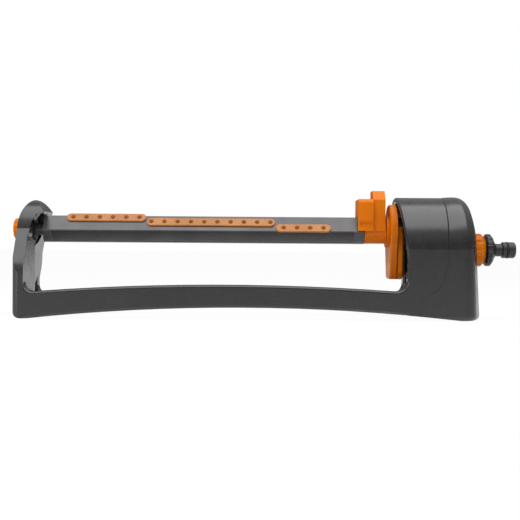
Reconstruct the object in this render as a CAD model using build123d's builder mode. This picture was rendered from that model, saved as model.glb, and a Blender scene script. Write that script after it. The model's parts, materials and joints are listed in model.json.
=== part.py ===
from build123d import *
from math import acos, cos, pi, radians, sin, sqrt, tan
import os

# Oscillating lawn sprinkler, millimetres, +Z up, +X towards the hose.
# The origin is under the middle of the frame, on the ground.

# ---- overall sizes ----
overallLength = 499.3
inletReach = 251.0         # from the origin to the hose end
baseWidth = 103.0
tubeHeight = 86.0          # spray tube axis above the ground
halfWidth = baseWidth / 2

# ---- gear train ----
gearModule = 0.75
pinionTeeth = 12
wheelTeeth = 36
gearPlay = 0.08            # thinning of each tooth
pressureAngle = radians(25)
addendum = 0.8             # in modules
dedendum = 1.0             # in modules
gearCentres = gearModule * (pinionTeeth + wheelTeeth) / 2
inletHeight = tubeHeight - gearCentres

# ---- clearances ----
runFit = 0.06              # radial running clearance of a shaft
sealFit = 0.03             # radial clearance of a seated ring
freeGap = 0.4              # between parts that pass each other

# ---- stations along X ----
rightEndX = inletReach
leftEndX = rightEndX - overallLength
knobProud = 8.8
archOuterX = leftEndX + knobProud
legThick = 11.0
legInnerX = archOuterX + legThick
hoodReach = 24.0
hoodLipX = archOuterX + hoodReach
capLeftX = archOuterX + 21.0
leftCapLength = 9.0
tubeLeftX = capLeftX + leftCapLength
rightCapLength = 10.0
neckLength = 21.9
noseX = rightEndX - 128.8
neckEndX = noseX - 0.8
neckX = neckEndX - neckLength
tubeRightX = neckX - rightCapLength
rimX = noseX + 7.8         # hood rim at the top
rimSideX = rimX + 7.0      # hood rim at the front side
rearRimX = rimX + 15.0     # hood rim at the rear side
creaseX = rimX + 46.0
houseEndX = rightEndX - 40.5
caseX = noseX + 27.8       # left face of the gear case
lidX = caseX - 3.0
caseEndX = caseX + 50.0
nutSeatX = rightEndX - 41.5

# ---- frame ----
housingWall = 5.5
rimBevel = 1.5
crownRise = 0.8
shoulderRadius = 14.0
footFlare = 3.5
railDepth = 14.0
rearRailDrop = 6.0
railTopLeft = 25.0
railTopMid = 33.0
railTopRight = 27.0
railRiseMid = 11.4
railRound = 2.6
legDepth = 30.0
legRound = 6.0
heelRadius = 8.0
rearLegTaper = 6.0
legStep = 1.5           # the rear leg is this much thinner than its rail's heel
endWall = 9.0           # wall that joins the two legs, deep enough to meet the thinner rear leg
wallFoot = 14.0         # clear height under that wall
legStraight = 50.0
headRadius = 29.0
openingTop = 64.0
openingHalf = 13.5
ceilingRadius = 15.5

# ---- spray tube ----
tiltDeg = 55.0             # deck normal leans forward by this much at rest
deckHalf = 9.0
deckHeight = 11.0
bellyRadius = 13.0
tubeWall = 1.8
plugLength = 12.0
plugFit = 0.05
journalRadius = 6.0
journalBore = 3.55
neckRadius = 9.0
neckBore = 5.5

# ---- nozzles ----
nozzlePitch = 13.1
stripWidth = 9.0
stripRise = 1.8
ribWidth = 4.4
stemRadius = 1.6
headRadiusJet = 2.4
jetBore = 0.45
# name, nozzles, offset across the deck, length beyond the outer nozzles
stripList = [("a", 6, 6.0, 6.7), ("b", 10, 1.0, 4.5), ("c", 4, -5.5, 7.7)]
stripGap = 0.9
stripStart = 13.8          # first strip end, from the left end of the tube

# ---- selector and sweep stops ----
saddleReach = 6.6          # selector over the right cap
saddleLength = 14.9
selectorTop = 31.5         # above the tube axis
ridgeTop = 40.0
ridgeHalf = 14.0
collarRadius = 12.5
saddleGap = 0.6
saddleWall = 2.2
saddleBore = max(bellyRadius, sqrt(deckHalf**2 + deckHeight**2)) + saddleGap
selectorHalf = saddleBore + saddleWall
noseRadius = 14.0
stopThick = 6.5
frontStopRing = 26.5
stopReach = 47.5
rearStopThick = 5.5
rearStopOpen = 4.0         # the rear stop is open above this height over the tube axis
rearStopHalf = 20.0

# ---- motor ----
caseMargin = 1.5           # wall clearance of the highest gear
caseWall = 5.0
lidStep = 1.5              # each inner shoulder of the case
caseBevel = 6.0
caseBore = gearCentres + gearModule * (wheelTeeth / 2 + addendum) + caseMargin
caseRadius = caseBore + caseWall
turbineBore = caseBore - lidStep
chamberBore = turbineBore - lidStep
dividerX = caseX + 22.0
plateThick = 2.5
jetPlateX = caseX + 36.5
floorX = caseX + 47.0
shaftRadius = 8.0
pinRadius = 1.5
leverZ = inletHeight - 22.0
leverShaft = 2.5
lidScrewCircle = caseBore + caseWall / 2
screwRadius = 1.2
screwHead = 2.2

# ---- inlet ----
stubRadius = 10.0
stubBore = 6.0
nutRadius = 16.5
nutLength = 10.0
nutBevel = 4.0
spigotX = rightEndX - 30.0
collarLength = 7.0
collarOuter = 16.0
spigotNeck = 6.3
tipRadius = 8.0
tipLength = 13.5
spigotBore = 4.5

# ---- bottom cover ----
coverZ = 6.8
coverThick = 2.5
bossRadius = 4.5


def disc(x0, x1, radius, z, mode=Mode.ADD, y=0.0):
    # round body along X between two stations
    with BuildSketch(Plane.YZ.offset(x0)) as face:
        with Locations((y, z)):
            Circle(radius)
    extrude(face.sketch, amount=x1 - x0, mode=mode)


def ring(x0, x1, outer, inner, z, mode=Mode.ADD):
    # round body with a round hole along X
    with BuildSketch(Plane.YZ.offset(x0)) as face:
        with Locations((0, z)):
            Circle(outer)
            Circle(inner, mode=Mode.SUBTRACT)
    extrude(face.sketch, amount=x1 - x0, mode=mode)


def block(x0, x1, y0, y1, z0, z1, mode=Mode.ADD):
    # straight-sided body between two corners
    with Locations(((x0 + x1) / 2, (y0 + y1) / 2, (z0 + z1) / 2)):
        Box(x1 - x0, y1 - y0, z1 - z0, mode=mode)


def finish(name, part):
    part.label = name
    export_step(part, f"parts/{name}.step")
    print(name, round(part.volume), len(part.solids()))


def housingPlan(height, flare, whole):
    # outline seen from above: straight sides, slight crown, domed end
    crownX = creaseX + 10.0
    cornerX = houseEndX - 13.0 + flare * 0.7
    crownY = halfWidth + crownRise
    # radius of the end face, centred on the middle plane so that it crosses it squarely
    endX = houseEndX + flare
    endRadius = (crownY**2 + (endX - cornerX)**2) / (2 * (endX - cornerX))
    midX = endX - endRadius + sqrt(endRadius**2 - (crownY / 2)**2)
    with BuildSketch(Plane.XY.offset(height)) as plan:
        with BuildLine():
            Line((rimX, 0), (rimX, halfWidth))
            Line((rimX, halfWidth), (creaseX, halfWidth))
            ThreePointArc((creaseX, halfWidth),
                          ((creaseX + crownX) / 2, halfWidth + crownRise * 0.75), (crownX, crownY))
            Line((crownX, crownY), (cornerX, crownY))
            ThreePointArc((cornerX, crownY), (midX, crownY / 2), (endX, 0))
            Line((endX, 0), (rimX, 0))
        make_face()
        fillet(plan.vertices().sort_by(Axis.Y)[-2:].sort_by(Axis.X)[-1:], shoulderRadius)
        if whole:
            mirror(about=Plane.XZ)
    return plan.sketch


def cavityPlan(height, whole):
    # hollow of the housing: even wall, sloped shoulder, flat seat for the gear case
    inner = halfWidth - housingWall
    with BuildSketch(Plane.XY.offset(height)) as plan:
        with BuildLine():
            Polyline((rimX - 1, 0), (rimX - 1, inner), (caseEndX - caseBevel - 1, inner),
                     (caseEndX, caseRadius - caseBevel + 1.5), (caseEndX, 0), close=True)
        make_face()
        if whole:
            mirror(about=Plane.XZ)
    return plan.sketch


# ---- frame: two rails, left arch with a hood, barrel housing with its foot ----
inletAxis = Axis((0, 0, inletHeight), (1, 0, 0))
barrelTop = inletHeight + halfWidth
archBottomLeft = archOuterX + 15.0
archBottomRight = houseEndX - 20.5
railLeftX = archOuterX + 1.0

with BuildPart() as housing:
    # the upper half is turned about the inlet axis, the lower half flares down to the ground
    revolve(housingPlan(inletHeight, 0, False), axis=inletAxis, revolution_arc=180)
    loft([housingPlan(0, footFlare, True), housingPlan(inletHeight, 0, True)], ruled=True)
    toe = housing.faces().sort_by(Axis.Z)[0].edges()
    fillet([e for e in toe if e.center().X > rimX + 1], 4.0)
    # hollow, open at the rim and at the ground
    revolve(cavityPlan(inletHeight, False), axis=inletAxis, revolution_arc=180, mode=Mode.SUBTRACT)
    extrude(cavityPlan(inletHeight, True), amount=-inletHeight - 1, mode=Mode.SUBTRACT)
    # slanted rim
    with BuildSketch(Plane.XZ) as rimCut:
        with BuildLine():
            Polyline((rimX - 5, -5), (rimSideX, -5), (rimSideX, inletHeight - 8), (rimX, barrelTop),
                     (rimX - 5, barrelTop + 5), close=True)
        make_face()
    extrude(amount=baseWidth, both=True, mode=Mode.SUBTRACT)
    with BuildSketch(Plane.XZ) as rearCut:
        with BuildLine():
            Polyline((rimX - 5, -5), (rearRimX, -5), (rearRimX, inletHeight - 26),
                     (rimSideX, inletHeight - 12), (rimX - 5, inletHeight - 12), close=True)
        make_face()
    extrude(amount=-baseWidth, mode=Mode.SUBTRACT)
    rimEdges = [e for e in housing.edges() if rimX - 1 < e.center().X < rearRimX + 0.1
                and e.center().Z > 5 and (e.geom_type != GeomType.LINE or e.center().Z < inletHeight)]
    chamfer(rimEdges, rimBevel)
    # shallow groove round the barrel
    with BuildSketch(Plane.XY.offset(inletHeight)) as groove:
        with BuildLine():
            Polyline((creaseX - 0.8, halfWidth + 0.2), (creaseX + 0.8, halfWidth + 0.2),
                     (creaseX, halfWidth - 0.5), close=True)
        make_face()
    revolve(axis=inletAxis, revolution_arc=180, mode=Mode.SUBTRACT)
    # the groove sweeps forward on the flat sides
    for side in (1, -1):
        with BuildSketch(Plane.XZ.offset(side * halfWidth)) as sideGroove:
            with BuildLine():
                Spline((creaseX, inletHeight), (creaseX - 4, inletHeight - 25),
                       (creaseX - 10, inletHeight - 37), (creaseX - 20, inletHeight - 44.5),
                       (creaseX - 31, inletHeight - 47), tangents=((0, -1), (-1, 0)))
            trace(line_width=1.3)
        extrude(amount=-0.5 * side, mode=Mode.SUBTRACT)
    # inlet hole, flat seat of the clamp nut, arched underside
    disc(caseEndX - 1, rightEndX, stubRadius + 0.3, inletHeight, Mode.SUBTRACT)
    disc(nutSeatX, rightEndX, nutRadius + 1.0, inletHeight, Mode.SUBTRACT)


def railOutline(y, drop, leftX, rightX):
    # side view of a rail: arched top and underside, rising into the leg and the housing
    with BuildSketch(Plane.XZ.offset(-y)) as outline:
        with BuildLine():
            Polyline((leftX, railTopLeft - drop), (leftX, legStraight - 4),
                     (railLeftX, legStraight - 4), (railLeftX, 0), (archBottomLeft, 0))
            ThreePointArc((archBottomLeft, 0), (-20, railRiseMid), (archBottomRight, 0))
            Polyline((archBottomRight, 0), (archBottomRight, 11), (rightX + 13, 11),
                     (rightX + 13, 46), (rightX, 46), (rightX, railTopRight - drop))
            ThreePointArc((rightX, railTopRight - drop), (-45, railTopMid - drop),
                          (leftX, railTopLeft - drop))
        make_face()
        fillet([v for v in outline.vertices() if abs(v.X - leftX) < 0.01 and v.Y < legStraight - 5], 9.0)
        fillet([v for v in outline.vertices() if abs(v.X - rightX) < 0.01 and v.Y < 40], 11.0)
        fillet([v for v in outline.vertices() if v.X < railLeftX + 0.1 and v.Y < 1], heelRadius)
    return outline.sketch


def makeRail(y0, y1, drop, leftX, rightX):
    with BuildPart() as rail:
        extrude(railOutline(y1, drop, leftX, rightX), amount=y1 - y0)
        topEdges = [e for e in rail.edges() if abs(e.center().Y - (y0 + y1) / 2) > 1
                    and e.center().Z > railTopLeft - drop - 1 and e.length > 3
                    and leftX - 0.1 < e.center().X < rightX + 0.1]
        lowEdges = [e for e in rail.edges().filter_by(GeomType.CIRCLE) if e.length > 300]
        fillet(list(set(topEdges + lowEdges)), railRound)
        # outer corner kept inside the rounded leg
        side = -1 if y0 < 0 else 1
        with BuildSketch(Plane.XY.offset(-1)) as corner:
            with BuildLine():
                Polyline((railLeftX - 1, side * (halfWidth + 1)),
                         (railLeftX + legRound + 1, side * (halfWidth + 1)),
                         (railLeftX - 1, side * (halfWidth - legRound - 1)), close=True)
            make_face()
        extrude(corner.sketch, amount=legStraight, mode=Mode.SUBTRACT)
    return rail.part


frontRail = makeRail(-halfWidth, -halfWidth + railDepth, 0, legInnerX, rimSideX)
rearRail = makeRail(halfWidth - railDepth, halfWidth, rearRailDrop, legInnerX - rearLegTaper, rearRimX)

heelMiddle = heelRadius * (1 - sqrt(0.5))

with BuildPart() as archSide:
    # side view of the arch: plain front half, rear half with a deeper wall behind the journal
    for y0, rightLine in (
        (-halfWidth - 5, [(hoodLipX, 103), (hoodLipX - 1.5, 100.6), (capLeftX - 3.5, 100.6),
                          (legInnerX + 2.5, 92), (legInnerX, 78), (legInnerX, 0)]),
        (0, [(hoodLipX, 103), (hoodLipX - 1.5, 100.6), (capLeftX - 3.5, 98), (capLeftX - 5, 84),
             (legInnerX - 2.0, 62), (legInnerX - rearLegTaper - legStep, 30),
             (legInnerX - rearLegTaper - legStep, 17),
             (legInnerX, 12), (legInnerX, 0)]),
    ):
        with BuildSketch(Plane.XZ.offset(-y0)):
            with BuildLine():
                Polyline(*rightLine, (archOuterX + heelRadius, 0))
                ThreePointArc((archOuterX + heelRadius, 0), (archOuterX + heelMiddle, heelMiddle),
                              (archOuterX, heelRadius))
                Line((archOuterX, heelRadius), (archOuterX, 86))
                Spline((archOuterX, 86), (archOuterX + 1.6, 98), (archOuterX + 5.5, 108),
                       (archOuterX + 13, 114.6), (archOuterX + 19.5, 110), (hoodLipX, 103),
                       tangents=((0, 1), (0.6, -1)))
            make_face()
        extrude(amount=-halfWidth - 5)

with BuildPart() as arch:
    with BuildSketch(Plane.YZ.offset(archOuterX - 1)) as face:
        with BuildLine():
            Polyline((-headRadius, tubeHeight), (-halfWidth, legStraight), (-halfWidth, 0),
                     (halfWidth, 0), (halfWidth, legStraight), (headRadius, tubeHeight))
            ThreePointArc((headRadius, tubeHeight), (0, tubeHeight + headRadius),
                          (-headRadius, tubeHeight))
        make_face()
        fillet([v for v in face.vertices() if legStraight - 1 < v.Y < legStraight + 1], 25.0)
        with Locations((0, wallFoot / 2 - 1)):
            Rectangle(baseWidth - 2 * legDepth, wallFoot + 2, mode=Mode.SUBTRACT)
    extrude(amount=hoodReach + 2)
    add(archSide.part, mode=Mode.INTERSECT)
    # front half of the wall hollowed from outside
    with BuildSketch(Plane.YZ.offset(archOuterX - 1)) as pocket:
        with BuildLine():
            Polyline((-halfWidth + legDepth, wallFoot - 1), (-halfWidth + legDepth, legStraight - 8),
                     (-openingHalf, openingTop), (0, openingTop), (0, wallFoot - 1), close=True)
        make_face()
    extrude(amount=1 + legThick - endWall, mode=Mode.SUBTRACT)
    # recess round the journal, open to the right
    disc(legInnerX, hoodLipX + 5, ceilingRadius, tubeHeight, Mode.SUBTRACT)
    # outer corners rounded, seen from above
    with BuildSketch(Plane.XY.offset(-1)) as plan:
        with Locations(((archOuterX + hoodLipX + 5) / 2, 0)):
            Rectangle(hoodLipX + 5 - archOuterX, baseWidth)
        fillet(plan.vertices().group_by(Axis.X)[0], legRound)
    extrude(amount=tubeHeight + headRadius + 2, mode=Mode.INTERSECT)

with BuildPart() as frame:
    add(housing.part)
    # arched underside of the housing
    with BuildSketch(Plane.XZ.offset(baseWidth)) as underside:
        with BuildLine():
            ThreePointArc((archBottomLeft, 0), (-20, railRiseMid), (archBottomRight, 0))
            Polyline((archBottomRight, 0), (archBottomRight, -5), (archBottomLeft, -5), (archBottomLeft, 0))
        make_face()
    extrude(amount=-2 * baseWidth, mode=Mode.SUBTRACT)
    add(arch.part)
    add(frontRail)
    add(rearRail)
    # bosses of the bottom cover, joined to the rail ends inside the housing
    coverHalf = halfWidth - railDepth - freeGap
    for x in (caseX + 8, archBottomRight - 12):
        for side in (1, -1):
            y = side * (coverHalf - 3)
            with Locations((x, y, coverZ + coverThick + 5)):
                Cylinder(bossRadius, 10)
                Box(2 * bossRadius, 10, 10)
            with Locations((x, y, coverZ + coverThick + 4)):
                Cylinder(screwRadius, 8.1, mode=Mode.SUBTRACT)
    disc(archOuterX - 3, legInnerX + 3, 9.0, tubeHeight, Mode.SUBTRACT)
finish("frame", frame.part)

with BuildPart() as bottomCover:
    coverLeft = caseX + 1
    block(coverLeft, caseEndX - caseBevel - 2, -coverHalf, coverHalf, coverZ, coverZ + coverThick)
    fillet(bottomCover.edges().filter_by(Axis.Z), 3.0)
    for x in (caseX + 8, archBottomRight - 12):
        for side in (1, -1):
            with Locations((x, side * (coverHalf - 3), coverZ)):
                Cylinder(screwRadius + 0.1, 8, mode=Mode.SUBTRACT)
    # drain slots
    with Locations((caseX + 22, 0, coverZ)):
        with GridLocations(0, 8, 1, 5):
            Box(14, 3, 8, mode=Mode.SUBTRACT)
finish("bottom_cover", bottomCover.part)

with BuildPart() as coverScrews:
    for x in (caseX + 8, archBottomRight - 12):
        for side in (1, -1):
            with Locations((x, side * (coverHalf - 3), coverZ - 0.9)):
                Cylinder(screwHead, 1.8)
            with Locations((x, side * (coverHalf - 3), coverZ + 4.8)):
                Cylinder(screwRadius - 0.02, 9.6)
            with Locations((x, side * (coverHalf - 3), coverZ - 1.5)):
                Box(3.2, 0.7, 1.0, mode=Mode.SUBTRACT)
finish("bottom_screws", coverScrews.part)

# ---- left bearing bush ----
with BuildPart() as leftBush:
    disc(archOuterX, legInnerX, 9.0 - sealFit, tubeHeight)
    disc(legInnerX, legInnerX + 1.5, 11.0, tubeHeight)
    disc(archOuterX - 1, legInnerX + 3, journalRadius + runFit, tubeHeight, Mode.SUBTRACT)
finish("left_bush", leftBush.part)

# ---- spray tube, drawn at its resting tilt ----
across = (0, cos(radians(tiltDeg)), sin(radians(tiltDeg)))
deckNormal = (0, -sin(radians(tiltDeg)), cos(radians(tiltDeg)))
deckPlane = Plane(origin=(0, 0, tubeHeight), x_dir=(1, 0, 0), z_dir=deckNormal)


def tubeSection(x, grow):
    # flat deck on top, flaring flanks, round belly
    with BuildSketch(Plane(origin=(x, 0, tubeHeight), x_dir=across, z_dir=(1, 0, 0))) as section:
        with BuildLine():
            Polyline((-bellyRadius, 0), (-deckHalf, deckHeight), (deckHalf, deckHeight), (bellyRadius, 0))
            ThreePointArc((bellyRadius, 0), (0, -bellyRadius), (-bellyRadius, 0))
        make_face()
        fillet([v for v in section.vertices() if v.Y > 1], 1.2)
        if grow < 0:
            offset(amount=grow, mode=Mode.REPLACE)
    return section.sketch


def stripPlaces():
    # start and length of each strip along the tube
    places = []
    x = tubeLeftX + stripStart
    for name, count, shift, spare in stripList:
        length = (count - 1) * nozzlePitch + 2 * spare
        places.append((name, count, shift, x + length / 2, length))
        x += length + stripGap
    return places


with BuildPart() as tube:
    extrude(tubeSection(tubeLeftX, 0), amount=tubeRightX - tubeLeftX)
    extrude(tubeSection(tubeLeftX - 1, -tubeWall), amount=tubeRightX - tubeLeftX + 2, mode=Mode.SUBTRACT)
    for name, count, shift, middle, length in stripPlaces():
        with BuildSketch(deckPlane.offset(deckHeight + 1)):
            with Locations((middle, shift)):
                SlotOverall(length - 4, ribWidth + 2 * plugFit)
        extrude(amount=-3.5, mode=Mode.SUBTRACT)
finish("tube", tube.part)

for name, count, shift, middle, length in stripPlaces():
    with BuildPart() as strip:
        with BuildSketch(deckPlane.offset(deckHeight)):
            with Locations((middle, shift)):
                SlotOverall(length, stripWidth)
        extrude(amount=stripRise)
        chamfer(strip.faces().sort_by(Axis(origin=(0, 0, 0), direction=deckNormal))[-1].edges(), 0.5)
        with BuildSketch(deckPlane.offset(deckHeight)):
            with Locations((middle, shift)):
                SlotOverall(length - 4, ribWidth)
        extrude(amount=-2.2)
        with BuildSketch(deckPlane.offset(deckHeight - 3)):
            with Locations((middle, shift)):
                with GridLocations(nozzlePitch, 0, count, 1):
                    Circle(stemRadius)
        extrude(amount=6, mode=Mode.SUBTRACT)
        with BuildSketch(deckPlane.offset(deckHeight + 0.6)):
            with Locations((middle, shift)):
                with GridLocations(nozzlePitch, 0, count, 1):
                    Circle(headRadiusJet)
        extrude(amount=3, mode=Mode.SUBTRACT)
    finish(f"nozzle_strip_{name}", strip.part)
    with BuildPart() as jets:
        # soft inserts: stem, head, raised lip, water hole
        for radius, low, high, mode in (
            (stemRadius - 0.02, -2.2, 0.7, Mode.ADD),
            (headRadiusJet - 0.02, 0.6, stripRise - 0.1, Mode.ADD),
            (1.15, stripRise - 0.2, stripRise + 0.5, Mode.ADD),
            (jetBore, -3.0, 4.0, Mode.SUBTRACT),
        ):
            with BuildSketch(deckPlane.offset(deckHeight + low)):
                with Locations((middle, shift)):
                    with GridLocations(nozzlePitch, 0, count, 1):
                        Circle(radius)
            extrude(amount=high - low, mode=mode)
    finish(f"nozzle_jets_{name}", jets.part)

with BuildPart() as leftCap:
    extrude(tubeSection(capLeftX, 0), amount=leftCapLength)
    extrude(tubeSection(tubeLeftX, -tubeWall - plugFit), amount=plugLength)
    disc(archOuterX - 1.0, capLeftX, journalRadius, tubeHeight)
    disc(archOuterX - 2, tubeLeftX + plugLength + 1, journalBore, tubeHeight, Mode.SUBTRACT)
finish("left_cap", leftCap.part)

with BuildPart() as rightCap:
    extrude(tubeSection(tubeRightX, 0), amount=rightCapLength)
    extrude(tubeSection(tubeRightX, -tubeWall - plugFit), amount=-plugLength)
    disc(neckX, neckEndX, neckRadius, tubeHeight)
    disc(tubeRightX - plugLength - 1, neckEndX + 1, neckBore, tubeHeight, Mode.SUBTRACT)
    for x in (neckX + 6, neckEndX - 4):
        ring(x - 0.8, x + 0.8, neckRadius + 1, neckRadius - 0.8, tubeHeight, Mode.SUBTRACT)
finish("right_cap", rightCap.part)

with BuildPart() as selectorRings:
    for x in (neckX + 6, neckEndX - 4):
        ring(x - 0.75, x + 0.75, neckRadius, neckRadius - 0.77, tubeHeight)
finish("selector_orings", selectorRings.part)

# ---- cleaning knob with its needle, held in the left journal ----
with BuildPart() as knob:
    with BuildSketch(Plane.YZ.offset(leftEndX)):
        with Locations((0, tubeHeight)):
            Circle(10.5)
            with PolarLocations(12.2, 12):
                Circle(2.3, mode=Mode.SUBTRACT)
    extrude(amount=knobProud - 1.4)
    chamfer(knob.faces().sort_by(Axis.X)[0].edges(), 1.2)
    disc(archOuterX - 1.4, tubeLeftX + 4, journalBore - runFit, tubeHeight)
    ring(capLeftX - 6, capLeftX - 4.4, journalBore + 1, 2.9, tubeHeight, Mode.SUBTRACT)
    disc(tubeLeftX - 2, tubeLeftX + 5, 0.5, tubeHeight, Mode.SUBTRACT)
finish("cleaning_knob", knob.part)

with BuildPart() as knobRing:
    ring(capLeftX - 5.95, capLeftX - 4.45, journalBore - 0.01, 2.93, tubeHeight)
finish("knob_oring", knobRing.part)

with BuildPart() as needle:
    disc(tubeLeftX - 2, tubeLeftX + 28, 0.48, tubeHeight)
finish("cleaning_needle", needle.part)

# ---- zone selector: saddle over the cap, collar round the neck, upright ridge ----
saddleX = neckX - saddleReach
ridgeX = saddleX + saddleLength
selectorEndX = neckEndX - 0.3


def uprightBlock(x0, x1, half, top, rounding, frontCut):
    # block above the tube axis with rounded shoulders; the front one can be cut lower
    with BuildSketch(Plane.YZ.offset(x0)) as face:
        with BuildLine():
            Polyline((-half, tubeHeight), (-half, tubeHeight + top - frontCut),
                     (-half + frontCut, tubeHeight + top), (half, tubeHeight + top),
                     (half, tubeHeight), close=True)
        make_face()
        fillet([v for v in face.vertices() if v.Y > tubeHeight + 5], rounding)
    extrude(face.sketch, amount=x1 - x0)


with BuildPart() as selector:
    uprightBlock(saddleX, ridgeX, selectorHalf, selectorTop, 2.0, 3.0)
    uprightBlock(ridgeX, selectorEndX - 1.2, ridgeHalf, ridgeTop, 2.5, 9.0)
    chamfer(selector.faces().sort_by(Axis.X)[0].edges().group_by(Axis.Z)[-1], 0.8)
    disc(neckX + freeGap, selectorEndX, collarRadius, tubeHeight)
    disc(saddleX - 1, neckX + freeGap, saddleBore, tubeHeight, Mode.SUBTRACT)
    disc(neckX - 1, selectorEndX + 1, neckRadius + runFit, tubeHeight, Mode.SUBTRACT)
    # window and finger ledge on the front face
    block(saddleX + 2, ridgeX - 2, -selectorHalf - 1, -selectorHalf + 1.0, tubeHeight + 4, tubeHeight + 8,
          Mode.SUBTRACT)
    block(saddleX + 0.6, ridgeX, -selectorHalf - 0.7, -selectorHalf, tubeHeight + 9.4, tubeHeight + 10.6)
finish("zone_selector", selector.part)

# ---- sweep stops turning on the nose ----
frontStopX = noseX + 2.0
clipLip = 0.8           # thickness of the collar's lip, as long as the gap to the neck
rearStopX = frontStopX + stopThick + 1.0
with BuildPart() as frontStop:
    with BuildSketch(Plane.YZ.offset(frontStopX)) as face:
        with Locations((0, tubeHeight)):
            Circle(frontStopRing)
        with BuildLine():
            Polyline((-frontStopRing * 0.93, tubeHeight - 8), (-15, tubeHeight - stopReach),
                     (15, tubeHeight - stopReach), (frontStopRing * 0.93, tubeHeight - 8), close=True)
        make_face()
        fillet([v for v in face.vertices() if v.Y < tubeHeight - stopReach + 1], 6.0)
    extrude(amount=stopThick)
    chamfer(frontStop.faces().sort_by(Axis.X)[0].edges(), 1.0)
    disc(frontStopX - 1, frontStopX + stopThick + 1, noseRadius + runFit, tubeHeight, Mode.SUBTRACT)
finish("range_stop_front", frontStop.part)

with BuildPart() as rearStop:
    with BuildSketch(Plane.YZ.offset(rearStopX)) as face:
        with Locations((0, tubeHeight)):
            Circle(noseRadius + 4)
        with BuildLine():
            Polyline((-rearStopHalf, tubeHeight - 1), (-rearStopHalf, tubeHeight - stopReach),
                     (rearStopHalf, tubeHeight - stopReach), (rearStopHalf, tubeHeight - 1), close=True)
        make_face()
        fillet([v for v in face.vertices() if v.Y < tubeHeight - stopReach + 1], 9.0)
    extrude(amount=rearStopThick)
    chamfer(rearStop.faces().sort_by(Axis.X)[-1].edges(), 1.5)
    disc(rearStopX - 1, rearStopX + rearStopThick + 1, noseRadius + runFit, tubeHeight, Mode.SUBTRACT)
    block(rearStopX - 1, rearStopX + rearStopThick + 1, -rearStopHalf - 1, rearStopHalf + 1,
          tubeHeight + rearStopOpen, tubeHeight + noseRadius + 5, Mode.SUBTRACT)
finish("range_stop_rear", rearStop.part)

with BuildPart() as stopWashers:
    for x0, x1 in ((frontStopX + stopThick + 0.2, rearStopX - 0.2),
                   (rearStopX + rearStopThick + 0.2, rearStopX + rearStopThick + 1.2)):
        ring(x0, x1, noseRadius + 2.5, noseRadius + runFit, tubeHeight)
finish("stop_washers", stopWashers.part)

with BuildPart() as stopClip:
    # split collar: rib in the groove, sleeve up to the front stop, lip over the end of the nose
    ring(noseX + 0.3, noseX + 0.8, noseRadius + 2, noseRadius - 0.76, tubeHeight)
    ring(noseX - clipLip, frontStopX - 0.2, noseRadius + 2, noseRadius + 0.12, tubeHeight)
    ring(noseX - clipLip, noseX, noseRadius + 2, neckRadius + runFit, tubeHeight)
    block(noseX - 2, frontStopX, -2, 2, tubeHeight, tubeHeight + 20, Mode.SUBTRACT)
finish("stop_clip", stopClip.part)

# ---- motor housing: lid with its nose, case, dividing plates ----
with BuildPart() as gearLid:
    disc(lidX, caseX, caseRadius, inletHeight)
    chamfer(gearLid.faces().sort_by(Axis.X)[0].edges(), 0.8)
    ring(caseX, caseX + 2, caseBore - plugFit, caseBore - 2.0, inletHeight)
    disc(noseX, lidX, noseRadius, tubeHeight)
    disc(caseX, caseX + 2.5, 4.0, inletHeight)
    disc(noseX - 1, caseX + 1, shaftRadius + runFit, tubeHeight, Mode.SUBTRACT)
    disc(caseX, caseX + 3, pinRadius, inletHeight, Mode.SUBTRACT)
    disc(lidX - 1, caseX + 1, leverShaft + runFit, leverZ, Mode.SUBTRACT)
    ring(noseX + 0.25, noseX + 0.85, noseRadius + 1, noseRadius - 0.8, tubeHeight, Mode.SUBTRACT)
    # stiffening ribs under the nose
    for side in (1, -1):
        block(rearStopX + rearStopThick + 2, lidX, side * 10 - 1, side * 10 + 1,
              inletHeight + 4, tubeHeight - 9)
    with BuildSketch(Plane.YZ.offset(lidX - 1)):
        with Locations((0, inletHeight)):
            with PolarLocations(lidScrewCircle, 4, 45):
                Circle(screwRadius + 0.15)
    extrude(amount=5, mode=Mode.SUBTRACT)
finish("gear_lid", gearLid.part)

with BuildPart() as gearCase:
    disc(caseX, caseEndX, caseRadius, inletHeight)
    chamfer(gearCase.faces().sort_by(Axis.X)[-1].edges(), caseBevel)
    disc(caseX, dividerX + plateThick, caseBore, inletHeight, Mode.SUBTRACT)
    disc(dividerX + plateThick, jetPlateX + plateThick, turbineBore, inletHeight, Mode.SUBTRACT)
    disc(jetPlateX + plateThick, floorX, chamberBore, inletHeight, Mode.SUBTRACT)
    disc(floorX, caseEndX, stubRadius + sealFit, inletHeight, Mode.SUBTRACT)
    with BuildSketch(Plane.YZ.offset(caseX)):
        with Locations((0, inletHeight)):
            with PolarLocations(lidScrewCircle, 4, 45):
                Circle(screwRadius)
    extrude(amount=9, mode=Mode.SUBTRACT)
finish("gear_case", gearCase.part)

with BuildPart() as lidScrews:
    for x0, x1, radius, mode in ((lidX - 1.8, lidX, screwHead, Mode.ADD),
                                 (lidX, caseX + 8, screwRadius - 0.02, Mode.ADD),
                                 (lidX - 2, lidX - 1.2, 0.8, Mode.SUBTRACT)):
        with BuildSketch(Plane.YZ.offset(x0)):
            with Locations((0, inletHeight)):
                with PolarLocations(lidScrewCircle, 4, 45):
                    Circle(radius)
        extrude(amount=x1 - x0, mode=mode)
finish("lid_screws", lidScrews.part)

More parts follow.
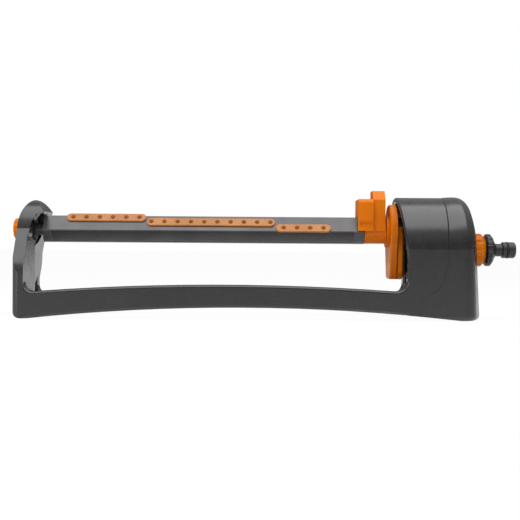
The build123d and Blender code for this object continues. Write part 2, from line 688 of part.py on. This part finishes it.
with BuildPart() as divider:
    disc(dividerX, dividerX + plateThick, caseBore - plugFit, inletHeight)
    disc(dividerX, dividerX + plateThick, 3.1, inletHeight, Mode.SUBTRACT)
    disc(dividerX, dividerX + plateThick, pinRadius, tubeHeight, Mode.SUBTRACT)
    disc(dividerX, dividerX + plateThick, leverShaft + 0.3, leverZ, Mode.SUBTRACT)
    with BuildSketch(Plane.YZ.offset(dividerX)):
        with Locations((0, inletHeight)):
            with PolarLocations(27, 6):
                Circle(3.0)
    extrude(amount=plateThick, mode=Mode.SUBTRACT)
finish("divider_plate", divider.part)

with BuildPart() as jetPlate:
    disc(jetPlateX, jetPlateX + plateThick, turbineBore - plugFit, inletHeight)
    for side in (1, -1):
        disc(jetPlateX - 1, jetPlateX, 2.6, inletHeight - 8, y=6.0 * side)
        disc(jetPlateX - 2, jetPlateX + 4, 1.5, inletHeight - 8, Mode.SUBTRACT, 6.0 * side)
    disc(jetPlateX, jetPlateX + plateThick, pinRadius, inletHeight, Mode.SUBTRACT)
    disc(jetPlateX, jetPlateX + plateThick, leverShaft + runFit, leverZ, Mode.SUBTRACT)
finish("jet_plate", jetPlate.part)

with BuildPart() as upperPin:
    disc(caseX + 9, dividerX + plateThick, pinRadius - 0.01, tubeHeight)
    disc(caseX + 8.6, caseX + 9.2, 2.4, tubeHeight)
finish("upper_pin", upperPin.part)

with BuildPart() as lowerPin:
    disc(caseX, jetPlateX + plateThick, pinRadius - 0.01, inletHeight)
finish("lower_pin", lowerPin.part)


# ---- gears: involute flanks, centre distance shared by both axes ----
def gearOutline(teeth, z, firstTooth):
    # points round a gear; firstTooth is the angle of one tooth's middle
    pitch = gearModule * teeth / 2
    base = pitch * cos(pressureAngle)
    root = pitch - dedendum * gearModule
    tip = pitch + addendum * gearModule
    start = max(base, root)
    halfAtPitch = (pi * gearModule / 2 - gearPlay) / (2 * pitch)
    flank = []
    for step in range(5):
        radius = start + (tip - start) * step / 4
        angle = acos(min(1.0, base / radius))
        half = halfAtPitch + (tan(pressureAngle) - pressureAngle) - (tan(angle) - angle)
        flank.append((radius, half))
    tooth = [(root, flank[0][1] + 0.01)] + flank
    points = []
    for index in range(teeth):
        middle = radians(firstTooth + index * 360 / teeth)
        for radius, half in tooth:
            points.append((radius * cos(middle - half), z + radius * sin(middle - half)))
        for radius, half in reversed(tooth):
            points.append((radius * cos(middle + half), z + radius * sin(middle + half)))
    return points


def gearDisc(x0, x1, teeth, z, firstTooth):
    with BuildSketch(Plane.YZ.offset(x0)) as face:
        with BuildLine():
            Polyline(*gearOutline(teeth, z, firstTooth), close=True)
        make_face()
    extrude(face.sketch, amount=x1 - x0)


# upper gears have a tooth pointing down, lower gears a gap pointing up
upperTooth = -90.0
lowerPinionTooth = 90.0 + 180 / pinionTeeth
lowerWheelTooth = 90.0 + 180 / wheelTeeth
boreRadius = pinRadius + runFit
outputGearX = caseX + 3
gearBX = caseX + 10
gearAX = caseX + 16.5

with BuildPart() as outputGear:
    gearDisc(outputGearX, outputGearX + 4, wheelTeeth, tubeHeight, upperTooth)
    disc(outputGearX, outputGearX + 4, shaftRadius, tubeHeight, Mode.SUBTRACT)
finish("output_gear", outputGear.part)

with BuildPart() as outputShaft:
    disc(neckEndX + 0.2, outputGearX + 4.6, shaftRadius, tubeHeight)
    disc(neckX + 8, neckEndX + 0.2, neckBore - plugFit, tubeHeight)
    disc(neckX + 7, outputGearX + 5, 4.0, tubeHeight, Mode.SUBTRACT)
finish("output_shaft", outputShaft.part)

with BuildPart() as shaftSeal:
    ring(caseX + 0.3, outputGearX - 0.3, shaftRadius + 3, shaftRadius + sealFit, tubeHeight)
finish("shaft_seal", shaftSeal.part)

with BuildPart() as gearB:
    gearDisc(outputGearX - 0.2, gearBX, pinionTeeth, inletHeight, lowerPinionTooth)
    gearDisc(gearBX, gearBX + 3.5, wheelTeeth, inletHeight, lowerWheelTooth)
    disc(gearBX + 3.5, gearAX - 1, 3.0, inletHeight)
    disc(outputGearX - 1, gearAX, boreRadius, inletHeight, Mode.SUBTRACT)
finish("gear_b", gearB.part)

with BuildPart() as gearA:
    gearDisc(gearBX - 0.4, gearAX, pinionTeeth, tubeHeight, upperTooth)
    gearDisc(gearAX, gearAX + 3.5, wheelTeeth, tubeHeight, upperTooth)
    disc(gearAX + 3.5, dividerX - 0.3, 3.0, tubeHeight)
    disc(gearBX - 1, dividerX, boreRadius, tubeHeight, Mode.SUBTRACT)
finish("gear_a", gearA.part)

with BuildPart() as turbine:
    gearDisc(gearAX - 0.5, gearAX + 4.3, pinionTeeth, inletHeight, lowerPinionTooth)
    disc(gearAX + 4.3, dividerX + 5, 2.9, inletHeight)
    disc(dividerX + 5, dividerX + 13, 6.0, inletHeight)
    disc(dividerX + 5, dividerX + 6.2, 15.5, inletHeight)
    disc(dividerX + 13, jetPlateX - 0.3, 3.0, inletHeight)
    with Locations((dividerX + 9, 0, inletHeight)):
        for index in range(12):
            with Locations(Rotation(index * 30, 0, 0)):
                with Locations((0, 0, 10.4)):
                    Box(8, 1.2, 10)
    disc(gearAX - 1, jetPlateX, boreRadius, inletHeight, Mode.SUBTRACT)
finish("turbine_wheel", turbine.part)

# ---- trip lever outside, jet diverter inside, on one shaft ----
with BuildPart() as tripLever:
    disc(lidX - 7, lidX - 2.5, 5.0, leverZ)
    block(lidX - 6.5, lidX - 3, -2.5, 2.5, leverZ, leverZ + 18)
    disc(lidX - 6.5, lidX - 3, 3.5, leverZ + 18)
    disc(lidX - 7, jetPlateX + plateThick + 2.4, leverShaft, leverZ)
finish("trip_lever", tripLever.part)

with BuildPart() as diverter:
    disc(jetPlateX + plateThick + 0.3, jetPlateX + plateThick + 2.2, 5.0, leverZ)
    block(jetPlateX + plateThick + 0.3, jetPlateX + plateThick + 2.2, -4.5, 4.5, leverZ, leverZ + 17)
    disc(jetPlateX, floorX, leverShaft, leverZ, Mode.SUBTRACT)
finish("jet_diverter", diverter.part)

# ---- inlet: stub, seals, filter, clamp nut, hose spigot ----
with BuildPart() as stub:
    disc(floorX - 2, floorX, 13.0, inletHeight)
    disc(floorX, spigotX + 3.5, stubRadius, inletHeight)
    disc(floorX - 3, spigotX + 4, stubBore, inletHeight, Mode.SUBTRACT)
    ring(floorX + 0.8, floorX + 2.3, stubRadius + 1, stubRadius - 0.8, inletHeight, Mode.SUBTRACT)
finish("inlet_stub", stub.part)

with BuildPart() as inletRing:
    ring(floorX + 0.85, floorX + 2.25, stubRadius, stubRadius - 0.77, inletHeight)
finish("inlet_oring", inletRing.part)

with BuildPart() as filterCup:
    disc(floorX + 4, floorX + 20, 4.8, inletHeight)
    disc(floorX + 19, floorX + 21, stubBore - sealFit, inletHeight)
    disc(floorX + 5, floorX + 22, 4.1, inletHeight, Mode.SUBTRACT)
    with BuildSketch(Plane.XY.offset(inletHeight)):
        with Locations((floorX + 12, 0)):
            with GridLocations(2.4, 0, 5, 1):
                Rectangle(1.2, 6)
    extrude(amount=8, both=True, mode=Mode.SUBTRACT)
    with BuildSketch(Plane.XZ):
        with Locations((floorX + 12, inletHeight)):
            with GridLocations(2.4, 0, 5, 1):
                Rectangle(1.2, 4.4)
    extrude(amount=8, both=True, mode=Mode.SUBTRACT)
finish("inlet_filter", filterCup.part)

with BuildPart() as clampNut:
    with BuildSketch(Plane.YZ.offset(nutSeatX)):
        with Locations((0, inletHeight)):
            Circle(nutRadius)
            with PolarLocations(nutRadius + 2.0, 12):
                Circle(3.0, mode=Mode.SUBTRACT)
    extrude(amount=nutLength)
    with BuildSketch(Plane.XZ):
        with BuildLine():
            Polyline((nutSeatX + nutLength - nutBevel, inletHeight + nutRadius + 0.5),
                     (nutSeatX + nutLength + 0.5, inletHeight + nutRadius + 0.5),
                     (nutSeatX + nutLength + 0.5, inletHeight + nutRadius - nutBevel), close=True)
        make_face()
    revolve(axis=inletAxis, mode=Mode.SUBTRACT)
    disc(nutSeatX - 1, nutSeatX + nutLength + 1, stubRadius + sealFit, inletHeight, Mode.SUBTRACT)
finish("inlet_nut", clampNut.part)

with BuildPart() as gasket:
    ring(nutSeatX + nutLength, spigotX - 0.3, 13.0, stubRadius + sealFit, inletHeight)
finish("inlet_gasket", gasket.part)

with BuildPart() as spigot:
    collarEndX = spigotX + collarLength
    tipX = rightEndX - tipLength
    outline = [(spigotX, stubRadius + 0.1), (spigotX, collarOuter - 0.8),
               (spigotX + 0.8, collarOuter), (collarEndX - 2.5, collarOuter),
               (collarEndX, collarOuter - 3.2), (collarEndX, 11), (collarEndX + 3.5, spigotNeck),
               (tipX, spigotNeck), (tipX + 0.8, tipRadius), (tipX + 4.2, tipRadius),
               (tipX + 4.2, tipRadius - 1.6), (tipX + 6.4, tipRadius - 1.6),
               (tipX + 6.4, tipRadius), (rightEndX - 1.4, tipRadius),
               (rightEndX, tipRadius - 1.2), (rightEndX, spigotBore),
               (spigotX + 5.5, spigotBore), (spigotX + 5.5, stubRadius + 0.1)]
    with BuildSketch(Plane.XZ):
        with BuildLine():
            Polyline(*[(x, inletHeight + radius) for x, radius in outline], close=True)
        make_face()
    revolve(axis=inletAxis)
    with BuildSketch(Plane.YZ.offset(spigotX - 1)):
        with Locations((0, inletHeight)):
            with PolarLocations(collarOuter + 1.4, 18):
                Circle(2.0)
    extrude(amount=collarLength + 1.9, mode=Mode.SUBTRACT)
finish("hose_spigot", spigot.part)

with BuildPart() as spigotWasher:
    ring(spigotX + 3.6, spigotX + 5.4, stubRadius, spigotBore + 1, inletHeight)
finish("spigot_washer", spigotWasher.part)

with BuildPart() as spigotRing:
    ring(tipX + 4.4, tipX + 6.2, tipRadius + 0.3, tipRadius - 1.58, inletHeight)
    fillet(spigotRing.edges().filter_by(GeomType.CIRCLE).sort_by(SortBy.RADIUS)[-2:], 0.8)
finish("spigot_oring", spigotRing.part)
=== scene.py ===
import json
import math

import bpy
from mathutils import Matrix, Vector

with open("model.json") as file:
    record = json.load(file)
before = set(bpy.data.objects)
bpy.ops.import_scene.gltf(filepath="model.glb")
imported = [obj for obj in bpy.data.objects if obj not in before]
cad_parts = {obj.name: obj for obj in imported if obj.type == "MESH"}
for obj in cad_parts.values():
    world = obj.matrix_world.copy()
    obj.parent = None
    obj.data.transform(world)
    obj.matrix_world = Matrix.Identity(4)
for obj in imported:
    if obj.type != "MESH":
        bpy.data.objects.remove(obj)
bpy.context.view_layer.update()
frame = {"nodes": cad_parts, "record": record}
nodes = frame["nodes"]


def newMaterial(name):
    material = bpy.data.materials.new(name)
    material.use_nodes = True
    tree = material.node_tree
    tree.nodes.clear()
    output = tree.nodes.new("ShaderNodeOutputMaterial")
    shader = tree.nodes.new("ShaderNodeBsdfPrincipled")
    tree.links.new(shader.outputs["BSDF"], output.inputs["Surface"])
    return material, tree, shader


def objectPoint(tree, stretch=(1.0, 1.0, 1.0)):
    # position on the object, stretched along each axis
    coordinates = tree.nodes.new("ShaderNodeTexCoord")
    mapping = tree.nodes.new("ShaderNodeMapping")
    mapping.inputs["Scale"].default_value = stretch
    tree.links.new(coordinates.outputs["Object"], mapping.inputs["Vector"])
    return mapping.outputs["Vector"]


def noise(tree, point, scale, detail=3.0, rough=0.5):
    node = tree.nodes.new("ShaderNodeTexNoise")
    node.inputs["Scale"].default_value = scale
    node.inputs["Detail"].default_value = detail
    node.inputs["Roughness"].default_value = rough
    tree.links.new(point, node.inputs["Vector"])
    return node.outputs["Fac"]


def remap(tree, value, band, result=(0.0, 1.0)):
    # stretches the band of values to the result
    node = tree.nodes.new("ShaderNodeMapRange")
    node.inputs["From Min"].default_value = band[0]
    node.inputs["From Max"].default_value = band[1]
    node.inputs["To Min"].default_value = result[0]
    node.inputs["To Max"].default_value = result[1]
    tree.links.new(value, node.inputs["Value"])
    return node.outputs["Result"]


def mixColours(tree, factor, first, second):
    node = tree.nodes.new("ShaderNodeMix")
    node.data_type = "RGBA"
    tree.links.new(factor, node.inputs["Factor"])
    for socket, colour in ((node.inputs[6], first), (node.inputs[7], second)):
        if isinstance(colour, tuple):
            socket.default_value = (*colour, 1.0)
        else:
            tree.links.new(colour, socket)
    return node.outputs[2]


def bumpChain(tree, shader, layers):
    # each layer is (height, strength, distance), laid one over the other
    last = None
    for height, strength, distance in layers:
        node = tree.nodes.new("ShaderNodeBump")
        node.inputs["Strength"].default_value = strength
        node.inputs["Distance"].default_value = distance
        tree.links.new(height, node.inputs["Height"])
        if last is not None:
            tree.links.new(last, node.inputs["Normal"])
        last = node.outputs["Normal"]
    tree.links.new(last, shader.inputs["Normal"])


def around(value, spread):
    return value + spread[0], value + spread[1]


plasticSurface = {
    "driftBand": (0.35, 0.65),  # noise values that run from the dark to the light colour
    "scuffStretch": (60, 900, 900),  # scuffs are long along X
    "scuffBand": (0.64, 0.78),
    "patchScale": 90.0,
    "patchBand": (0.3, 0.7),
    "patchSpread": (-0.04, 0.05),  # how far the roughness wanders
    "grainDepth": 0.0002,
    "waveScale": 45.0,
    "waveStrength": 0.05,
    "waveDepth": 0.0006,
}


def plasticMaterial(name, look):
    # moulded plastic: slow colour drift, faint scuffs, fine grain over shallow waves
    surface = plasticSurface
    material, tree, shader = newMaterial(name)
    point = objectPoint(tree)
    drift = noise(tree, point, look["driftScale"], 2.0)
    body = mixColours(tree, remap(tree, drift, surface["driftBand"]), look["dark"], look["light"])
    scuff = noise(tree, objectPoint(tree, surface["scuffStretch"]), 1.0, 4.0, 0.6)
    scuffMask = remap(tree, scuff, surface["scuffBand"], (0.0, look["scuff"]))
    body = mixColours(tree, scuffMask, body, look["worn"])
    tree.links.new(body, shader.inputs["Base Color"])
    patches = noise(tree, point, surface["patchScale"], 3.0)
    rough = remap(tree, patches, surface["patchBand"], around(look["rough"], surface["patchSpread"]))
    tree.links.new(rough, shader.inputs["Roughness"])
    shader.inputs["Specular IOR Level"].default_value = look["gloss"]
    grain = noise(tree, point, look["grainScale"], 2.0, 0.6)
    waves = noise(tree, point, surface["waveScale"], 1.0)
    bumpChain(tree, shader, [
        (grain, look["grain"], surface["grainDepth"]),
        (waves, surface["waveStrength"], surface["waveDepth"]),
    ])
    return material


metalSurface = {
    "lineStretch": (6, 1500, 1500),  # drawing lines run along X
    "lineBand": (0.3, 0.7),
    "lineSpread": (-0.05, 0.07),
    "lineDepth": 0.0001,
    "patchScale": 35.0,
    "patchBand": (0.35, 0.65),
}


def metalMaterial(name, look):
    # satin metal with drawing lines
    surface = metalSurface
    material, tree, shader = newMaterial(name)
    lines = noise(tree, objectPoint(tree, surface["lineStretch"]), 1.0, 3.0, 0.65)
    patches = noise(tree, objectPoint(tree), surface["patchScale"], 3.0)
    body = mixColours(tree, remap(tree, patches, surface["patchBand"]), look["dark"], look["light"])
    tree.links.new(body, shader.inputs["Base Color"])
    shader.inputs["Metallic"].default_value = look["metal"]
    rough = remap(tree, lines, surface["lineBand"], around(look["rough"], surface["lineSpread"]))
    tree.links.new(rough, shader.inputs["Roughness"])
    shader.inputs["Specular IOR Level"].default_value = look["gloss"]
    bumpChain(tree, shader, [(lines, look["grain"], surface["lineDepth"])])
    return material


# finishes, one dictionary for each

framePlastic = {
    "dark": (0.0050, 0.0046, 0.0050), "light": (0.0080, 0.0075, 0.0079), "worn": (0.020, 0.019, 0.019),
    "driftScale": 14.0, "scuff": 0.25, "rough": 0.25, "gloss": 0.85, "grain": 0.07, "grainScale": 1500.0,
}
capPlastic = {
    "dark": (0.050, 0.0485, 0.050), "light": (0.062, 0.060, 0.062), "worn": (0.09, 0.09, 0.09),
    "driftScale": 30.0, "scuff": 0.25, "rough": 0.30, "gloss": 0.8, "grain": 0.12, "grainScale": 1800.0,
}
orangePlastic = {
    "dark": (0.60, 0.140, 0.0002), "light": (0.68, 0.168, 0.0006), "worn": (0.74, 0.29, 0.02),
    "driftScale": 22.0, "scuff": 0.12, "rough": 0.34, "gloss": 0.16, "grain": 0.10, "grainScale": 1600.0,
}
nozzlePlastic = {
    "dark": (0.39, 0.140, 0.020), "light": (0.46, 0.170, 0.032), "worn": (0.56, 0.28, 0.10),
    "driftScale": 60.0, "scuff": 0.18, "rough": 0.36, "gloss": 0.5, "grain": 0.12, "grainScale": 2000.0,
}
jetRubber = {
    "dark": (0.22, 0.066, 0.004), "light": (0.28, 0.088, 0.007), "worn": (0.36, 0.14, 0.02),
    "driftScale": 160.0, "scuff": 0.15, "rough": 0.50, "gloss": 0.2, "grain": 0.2, "grainScale": 2400.0,
}
innerPlastic = {
    "dark": (0.009, 0.009, 0.0095), "light": (0.014, 0.0135, 0.014), "worn": (0.04, 0.04, 0.04),
    "driftScale": 25.0, "scuff": 0.2, "rough": 0.5, "gloss": 0.4, "grain": 0.25, "grainScale": 1300.0,
}
gearPlastic = {
    "dark": (0.56, 0.54, 0.48), "light": (0.64, 0.62, 0.56), "worn": (0.72, 0.70, 0.66),
    "driftScale": 60.0, "scuff": 0.2, "rough": 0.38, "gloss": 0.5, "grain": 0.1, "grainScale": 1800.0,
}
sealRubber = {
    "dark": (0.010, 0.010, 0.010), "light": (0.016, 0.016, 0.016), "worn": (0.05, 0.05, 0.05),
    "driftScale": 80.0, "scuff": 0.2, "rough": 0.55, "gloss": 0.35, "grain": 0.3, "grainScale": 2200.0,
}
hosePlastic = {
    "dark": (0.014, 0.0135, 0.014), "light": (0.020, 0.0195, 0.020), "worn": (0.06, 0.06, 0.06),
    "driftScale": 40.0, "scuff": 0.3, "rough": 0.36, "gloss": 0.5, "grain": 0.15, "grainScale": 1700.0,
}
tubeFinish = {
    "dark": (0.082, 0.079, 0.081), "light": (0.100, 0.096, 0.099), "metal": 0.90, "rough": 0.22,
    "gloss": 0.5, "grain": 0.10,
}
steelFinish = {
    "dark": (0.50, 0.50, 0.51), "light": (0.60, 0.60, 0.61), "metal": 1.0, "rough": 0.28,
    "gloss": 0.5, "grain": 0.10,
}

finishes = {
    "frame_plastic": plasticMaterial("framePlastic", framePlastic),
    "cap_plastic": plasticMaterial("capPlastic", capPlastic),
    "orange_plastic": plasticMaterial("orangePlastic", orangePlastic),
    "nozzle_plastic": plasticMaterial("nozzlePlastic", nozzlePlastic),
    "jet_rubber": plasticMaterial("jetRubber", jetRubber),
    "inner_plastic": plasticMaterial("innerPlastic", innerPlastic),
    "gear_plastic": plasticMaterial("gearPlastic", gearPlastic),
    "seal_rubber": plasticMaterial("sealRubber", sealRubber),
    "hose_plastic": plasticMaterial("hosePlastic", hosePlastic),
    "tube_finish": metalMaterial("tubeFinish", tubeFinish),
    "steel": metalMaterial("steelFinish", steelFinish),
}
for part in frame["record"]["subparts"]:
    mesh = nodes[part["node"]].data
    mesh.materials.clear()
    mesh.materials.append(finishes[part["material_slot"]])
print("finishes set on", len(nodes), "nodes")


studio = {
    "floorSize": 40.0,
    "floorColour": (0.88, 0.88, 0.88),
    "skyTop": 0.55,
    "skyLow": 0.05,
    "overheadPower": 15.5,
    "overheadSize": (1.8, 1.3),
    "overheadPlace": (0.10, -0.26, 1.10),
    "fillPower": 6.0,
    "fillSize": (0.8, 0.8),
    "fillPlace": (-1.1, -1.1, 0.45),
    "aim": (0, 0, 0.06),
    "floorWhite": 0.95,  # share of plain white that the lens sees in the floor, the rest is lit
    "floorRough": 0.9,
    "floorGloss": 0.1,
    "skyTint": (0.97, 0.98, 1.0),
    "skyBand": (0.0, 0.5),  # heights between which the sky goes from low to top
}


def whiteForCamera(tree, shaderOutput, share):
    # the lens, mirror-like surfaces and clear ones see this share of it as plain white
    path = tree.nodes.new("ShaderNodeLightPath")
    direct = tree.nodes.new("ShaderNodeMath")
    direct.operation = "MAXIMUM"
    tree.links.new(path.outputs["Is Camera Ray"], direct.inputs[0])
    tree.links.new(path.outputs["Is Transmission Ray"], direct.inputs[1])
    seen = tree.nodes.new("ShaderNodeMath")
    seen.operation = "MAXIMUM"
    tree.links.new(direct.outputs[0], seen.inputs[0])
    tree.links.new(path.outputs["Is Glossy Ray"], seen.inputs[1])
    amount = tree.nodes.new("ShaderNodeMath")
    amount.operation = "MULTIPLY"
    amount.inputs[1].default_value = share
    tree.links.new(seen.outputs[0], amount.inputs[0])
    glow = tree.nodes.new("ShaderNodeEmission")
    glow.inputs["Color"].default_value = (1.0, 1.0, 1.0, 1.0)
    glow.inputs["Strength"].default_value = 1.0
    mix = tree.nodes.new("ShaderNodeMixShader")
    tree.links.new(amount.outputs[0], mix.inputs["Fac"])
    tree.links.new(shaderOutput, mix.inputs[1])
    tree.links.new(glow.outputs[0], mix.inputs[2])
    return mix.outputs[0]


def buildFloor():
    size = studio["floorSize"]
    mesh = bpy.data.meshes.new("floor")
    corners = [(-size, -size, 0), (size, -size, 0), (size, size, 0), (-size, size, 0)]
    mesh.from_pydata(corners, [], [(0, 1, 2, 3)])
    floor = bpy.data.objects.new("floor", mesh)
    bpy.context.scene.collection.objects.link(floor)
    material, tree, shader = newMaterial("floorPaper")
    shader.inputs["Base Color"].default_value = (*studio["floorColour"], 1.0)
    shader.inputs["Roughness"].default_value = studio["floorRough"]
    shader.inputs["Specular IOR Level"].default_value = studio["floorGloss"]
    output = [n for n in tree.nodes if n.bl_idname == "ShaderNodeOutputMaterial"][0]
    seenFloor = whiteForCamera(tree, shader.outputs["BSDF"], studio["floorWhite"])
    tree.links.new(seenFloor, output.inputs["Surface"])
    mesh.materials.append(material)


def buildSky():
    world = bpy.data.worlds.new("studioSky")
    bpy.context.scene.world = world
    world.use_nodes = True
    tree = world.node_tree
    tree.nodes.clear()
    output = tree.nodes.new("ShaderNodeOutputWorld")
    light = tree.nodes.new("ShaderNodeBackground")
    light.inputs["Color"].default_value = (*studio["skyTint"], 1.0)
    direction = tree.nodes.new("ShaderNodeTexCoord")
    axes = tree.nodes.new("ShaderNodeSeparateXYZ")
    tree.links.new(direction.outputs["Generated"], axes.inputs[0])
    height = remap(tree, axes.outputs["Z"], studio["skyBand"], (studio["skyLow"], studio["skyTop"]))
    tree.links.new(height, light.inputs["Strength"])
    white = tree.nodes.new("ShaderNodeBackground")
    white.inputs["Color"].default_value = (1.0, 1.0, 1.0, 1.0)
    white.inputs["Strength"].default_value = 1.0
    path = tree.nodes.new("ShaderNodeLightPath")
    mix = tree.nodes.new("ShaderNodeMixShader")
    tree.links.new(path.outputs["Is Camera Ray"], mix.inputs["Fac"])
    tree.links.new(light.outputs[0], mix.inputs[1])
    tree.links.new(white.outputs[0], mix.inputs[2])
    tree.links.new(mix.outputs[0], output.inputs["Surface"])


def addLamp(name, place, size, power):
    light = bpy.data.lights.new(name, "AREA")
    light.shape = "RECTANGLE"
    light.size = size[0]
    light.size_y = size[1]
    light.energy = power
    lamp = bpy.data.objects.new(name, light)
    lamp.location = place
    lamp.rotation_euler = (Vector(studio["aim"]) - Vector(place)).to_track_quat("-Z", "Y").to_euler()
    bpy.context.scene.collection.objects.link(lamp)


camera = {
    "place": (-0.0035, -1.0, 0.0665),
    "lens": 69.23,
    "pitchDown": 0.573,
    "roll": 0.4,
    "sensor": 36.0,
    "nearest": 0.01,
}


def buildCamera():
    data = bpy.data.cameras.new("camera")
    data.lens = camera["lens"]
    data.sensor_width = camera["sensor"]
    data.clip_start = camera["nearest"]
    eye = bpy.data.objects.new("camera", data)
    turn = Matrix.Rotation(math.radians(90 - camera["pitchDown"]), 4, "X")
    turn = turn @ Matrix.Rotation(math.radians(camera["roll"]), 4, "Z")
    eye.matrix_world = Matrix.Translation(camera["place"]) @ turn
    bpy.context.scene.collection.objects.link(eye)
    bpy.context.scene.camera = eye


buildFloor()
buildSky()
for lampName in ("overhead", "fill"):
    addLamp(lampName, *(studio[lampName + word] for word in ("Place", "Size", "Power")))
buildCamera()
bpy.context.scene.view_settings.view_transform = "Standard"
print("studio ready")
